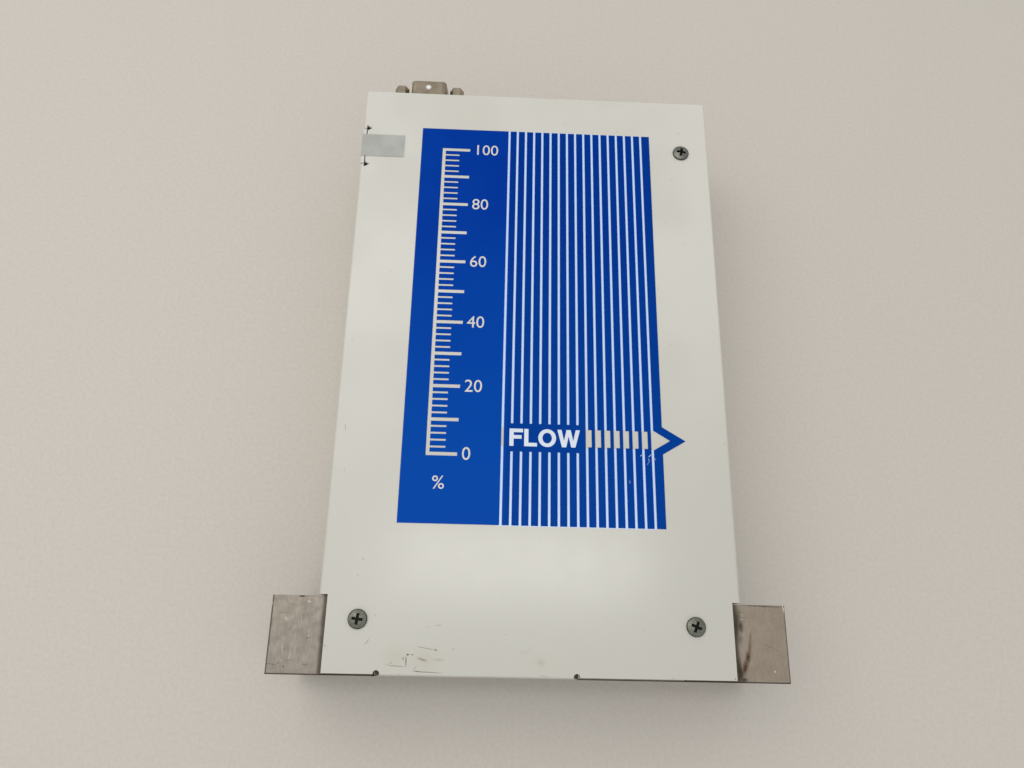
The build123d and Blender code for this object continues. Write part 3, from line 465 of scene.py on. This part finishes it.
def nickelPlate():
    # Dull electroless nickel, brownish where it has tarnished
    made, tree, shader, coords = newMaterial("dullNickelPlate", 1.0, 0.34)
    tarnish = ramp(tree, noise(tree, coords, 3.0, 3.0), 0.3, 0.7)
    colour = mix(tree, tarnish, linear("#9F927F"), linear("#887C6C"))
    size = shellGlint["size"]
    height = faceZ - shellGlint["drop"] * mm
    shape = (shellGlint["x"], shellGlint["y"], size, size, 0, shellGlint["strength"], shellGlint["softness"])
    # Painted highlight on the shell's near corner
    colour = mix(tree, mark(tree, coords, height, *shape), colour, linear("#FFFDF8"))
    tree.links.new(colour, shader.inputs["Base Color"])
    bump(tree, shader, noise(tree, coords, 0.25, 2.0), 0.004)
    return made


def sealFilm():
    # Grey adhesive film, matt, with a faint weave of creases
    made, tree, shader, coords = newMaterial("greyAdhesiveFilm", 0.0, 0.45, 1.46)
    broad = ramp(tree, noise(tree, coords, 4.0, 3.0), 0.3, 0.7)
    tree.links.new(mix(tree, broad, linear("#AEADA7"), linear("#A3A29C")), shader.inputs["Base Color"])
    bump(tree, shader, noise(tree, coords, 0.8, 3.0), 0.01)
    return made


def boardMask():
    # Green solder mask over glass-epoxy board, with the tracks just showing
    made, tree, shader, coords = newMaterial("greenSolderMask", 0.0, 0.3, 1.5)
    tracks = ramp(tree, noise(tree, coords, 2.2, 0.0, 0.5, (1, 0.08, 1)), 0.48, 0.52)
    tree.links.new(mix(tree, tracks, linear("#1C5A33"), linear("#2A6F40")), shader.inputs["Base Color"])
    bump(tree, shader, tracks, 0.03)
    return made


def mouldedPlastic(name, first, second):
    # Glass-filled moulded plastic with a fine spark-eroded grain
    made, tree, shader, coords = newMaterial(name, 0.0, 0.5, 1.5)
    grain = noise(tree, coords, 0.4, 3.0)
    tree.links.new(mix(tree, grain, linear(first), linear(second)), shader.inputs["Base Color"])
    bump(tree, shader, grain, 0.01)
    return made


def platedBrass():
    # Nickel-flashed brass of the posts and contacts
    made, tree, shader, coords = newMaterial("platedBrass", 1.0, 0.32)
    tone = ramp(tree, noise(tree, coords, 1.5, 3.0), 0.3, 0.7)
    tree.links.new(mix(tree, tone, linear("#C9AE72"), linear("#B4985C")), shader.inputs["Base Color"])
    bump(tree, shader, noise(tree, coords, 0.3, 2.0), 0.003)
    return made


finishes = {
    "front_cover": powderCoat("whitePowderCoatFront", True),
    "inlet_block": milledSteel("milledStainlessInlet", "inlet", inletScratches, inletFlecks),
    "outlet_block": milledSteel(
        "milledStainlessOutlet", "outlet", outletGrimeAndShade, outletFlecks, outletStreak
    ),
}
slotFinishes = {
    "white_paint": powderCoat("whitePowderCoatRear", False),
    "machined_steel": milledSteel("milledStainless", "plain"),
    "screw_steel": screwSteel(),
    "polished_steel": turnedSteel(),
    "nickel": nickelPlate(),
    "blue_ink": screenInk(),
    "grey_film": sealFilm(),
    "green_board": boardMask(),
    "black_plastic": mouldedPlastic("blackMouldedPlastic", "#1E1E1F", "#2A2A2B"),
    "brass_plate": platedBrass(),
    "piezo_ceramic": mouldedPlastic("coatedPiezoCeramic", "#C9BE9A", "#B9AD88"),
}


def dressNodes():
    slots = {part["node"]: part["material_slot"] for part in frame["record"]["subparts"]}
    for name, holder in nodes.items():
        material = finishes.get(name) or slotFinishes[slots[name]]
        for slot in holder.material_slots:
            slot.material = material


dressNodes()
print("finishes put on the frame")


# The word and the numbers on the print

def finishPiece(name, mesh, material):
    # Turns a bmesh in metres into a piece that rides on the body
    bmesh.ops.recalc_face_normals(mesh, faces=mesh.faces)
    data = bpy.data.meshes.new(name)
    mesh.to_mesh(data)
    mesh.free()
    data.materials.append(material)
    holder = bpy.data.objects.new(name, data)
    bpy.context.collection.objects.link(holder)
    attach(holder, "root")
    return holder


def extrudeUp(mesh, faces, thickness):
    grown = bmesh.ops.extrude_face_region(mesh, geom=faces)
    tops = [item for item in grown["geom"] if isinstance(item, bmesh.types.BMVert)]
    bmesh.ops.translate(mesh, verts=tops, vec=(0, 0, thickness))


word = {
    "low": 47.25, "high": 51.15, "bar": 0.8, "stem": 0.92, "thickness": 0.03, "left": -5.2,
    "armLift": 0.1, "armCut": 0.3, "overshoot": 0.05, "notch": 1.45, "ringSteps": 40,
}
letterWidths = {"F": 2.95, "L": 2.8, "O": 3.9, "W": 4.95}
letterGap = 0.27


def letterOutline(mesh, points):
    corners = [mesh.verts.new(place(x, y, inkZ)) for x, y in points]
    return [mesh.faces.new(corners)]


def drawF(mesh, x, sizes):
    low, high, bar, stem = sizes["low"], sizes["high"], sizes["bar"], sizes["stem"]
    right = x + letterWidths["F"]
    arm = right - sizes["armCut"]
    middle = (low + high) / 2 + sizes["armLift"]
    points = [(x, low), (x + stem, low), (x + stem, middle - bar / 2), (arm, middle - bar / 2)]
    points += [(arm, middle + bar / 2), (x + stem, middle + bar / 2), (x + stem, high - bar)]
    points += [(right, high - bar), (right, high), (x, high)]
    return letterOutline(mesh, points)


def drawL(mesh, x, sizes):
    low, high, bar, stem = sizes["low"], sizes["high"], sizes["bar"], sizes["stem"]
    right = x + letterWidths["L"]
    points = [(x, low), (right, low), (right, low + bar)]
    points += [(x + stem, low + bar), (x + stem, high), (x, high)]
    return letterOutline(mesh, points)


def drawO(mesh, x, sizes):
    # Two rounded rings joined by a flat band of faces
    middle = place(x + letterWidths["O"] / 2, (sizes["low"] + sizes["high"]) / 2, inkZ)
    half = (sizes["high"] - sizes["low"]) / 2 + sizes["overshoot"]
    edges = []
    for inset in (0, sizes["stem"]):
        steps = sizes["ringSteps"]
        ring = bmesh.ops.create_circle(mesh, cap_ends=False, radius=mm, segments=steps)["verts"]
        across = letterWidths["O"] / 2 - inset
        stretch = Matrix.Diagonal((across, half - inset * sizes["bar"] / sizes["stem"], 1, 1))
        bmesh.ops.transform(mesh, matrix=Matrix.Translation(middle) @ stretch, verts=ring)
        edges += list({edge for vert in ring for edge in vert.link_edges})
    return bmesh.ops.bridge_loops(mesh, edges=edges)["faces"]


def drawW(mesh, x, sizes):
    low, high = sizes["low"], sizes["high"]
    width = letterWidths["W"]
    arm = sizes["stem"]
    quarter = (width - arm) / 4
    notch = sizes["notch"]
    points = [(x, high), (x + quarter, low), (x + quarter + arm, low), (x + width / 2, high - notch)]
    points += [(x + width - quarter - arm, low), (x + width - quarter, low), (x + width, high)]
    points += [(x + width - arm, high), (x + width - quarter - arm / 2, low + notch)]
    points += [(x + width / 2 + arm / 2, high), (x + width / 2 - arm / 2, high)]
    points += [(x + quarter + arm / 2, low + notch), (x + arm, high)]
    return letterOutline(mesh, points)


def makeWord(sizes, finish):
    mesh = bmesh.new()
    x = sizes["left"]
    for letter, draw in (("F", drawF), ("L", drawL), ("O", drawO), ("W", drawW)):
        faces = draw(mesh, x, sizes)
        extrudeUp(mesh, faces, sizes["thickness"] * mm)
        x += letterWidths[letter] + letterGap
    return finishPiece("flow_word", mesh, finish)


makeWord(word, clearedInk("paintInLetters", "#DAE2EC", "#D2DAE4"))
print("word drawn")


# Plain numbers beside the percent scale in the blue band

scale = {
    "lowY": 45.1, "highY": 122.25, "x": -15.5, "step": 20, "size": 4.1,
    "thickness": 0.03, "signY": 38.7, "signX": -21.6,
}


def textFaces(text, sizes, x, y):
    # The text as a flat mesh that stands a hair above the ink
    curve = bpy.data.curves.new("numberOutline", "FONT")
    curve.body = text
    curve.size = sizes["size"] * mm
    curve.align_y = "CENTER"
    curve.extrude = sizes["thickness"] / 2 * mm
    curve.resolution_u = 4
    holder = bpy.data.objects.new("numberOutline", curve)
    data = bpy.data.meshes.new_from_object(holder)
    data.transform(Matrix.Translation(place(x, y, inkZ + sizes["thickness"] / 2 * mm)))
    bpy.data.objects.remove(holder)
    return data


def makeNumbers(sizes, finish):
    mesh = bmesh.new()
    texts = [("%", sizes["signX"], sizes["signY"])]
    for value in range(0, 101, sizes["step"]):
        y = sizes["lowY"] + (sizes["highY"] - sizes["lowY"]) * value / 100
        texts.append((str(value), sizes["x"], y))
    for text, x, y in texts:
        mesh.from_mesh(textFaces(text, sizes, x, y))
    return finishPiece("scale_numbers", mesh, finish)


makeNumbers(scale, clearedInk("paintInNumbers", "#D4D1C8", "#CCC9BF"))
print("scale numbered")


# Studio: pale floor, soft daylight from the upper left and a ceiling light over the part

studio = {"floor": "#C9C2B8", "floorDark": "#C4BCB2", "sky": "#F1F3F4", "skyStrength": 0.84}
keyLamp = {
    "x": -350, "y": 190, "z": 670, "width": 600, "height": 600, "power": 1.5,
    "colour": (1.0, 0.985, 0.96),
}
ceilingLamp = {
    "x": 24, "y": 10, "z": 630, "width": 240, "height": 60, "power": 0.3,
    "colour": (1.0, 1.0, 1.0),
}


def makeFloor(colours):
    mesh = bmesh.new()
    bmesh.ops.create_grid(mesh, x_segments=2, y_segments=2, size=1.6)
    data = bpy.data.meshes.new("floor")
    mesh.to_mesh(data)
    mesh.free()
    made, tree, shader, coords = newMaterial("paleLaminate", 0.0, 0.5, 1.45)
    cloudy = ramp(tree, noise(tree, coords, 0.9, 3.0), 0.3, 0.7)
    colour = mix(tree, cloudy, linear(colours["floor"]), linear(colours["floorDark"]))
    tree.links.new(colour, shader.inputs["Base Color"])
    bump(tree, shader, noise(tree, coords, 1.0, 2.0), 0.015)
    data.materials.append(made)
    holder = bpy.data.objects.new("floor", data)
    bpy.context.collection.objects.link(holder)


def makeLamp(name, sizes):
    data = bpy.data.lights.new(name, "AREA")
    data.shape = "RECTANGLE"
    data.size = sizes["width"] * mm
    data.size_y = sizes["height"] * mm
    data.energy = sizes["power"]
    data.color = sizes["colour"]
    holder = bpy.data.objects.new(name, data)
    bpy.context.collection.objects.link(holder)
    holder.location = Vector((sizes["x"], sizes["y"], sizes["z"])) * mm
    lean = -math.asin(sizes["y"] * mm / holder.location.length)
    holder.rotation_euler = (lean, math.atan2(sizes["x"], sizes["z"]), 0)


def makeWorld(colours):
    world = bpy.data.worlds.new("softSky")
    world.use_nodes = True
    background = world.node_tree.nodes["Background"]
    background.inputs["Color"].default_value = linear(colours["sky"])
    background.inputs["Strength"].default_value = colours["skyStrength"]
    bpy.context.scene.world = world


makeFloor(studio)
makeLamp("key", keyLamp)
makeLamp("ceiling", ceilingLamp)
makeWorld(studio)
bpy.context.scene.view_settings.view_transform = "Standard"
print("studio lit")
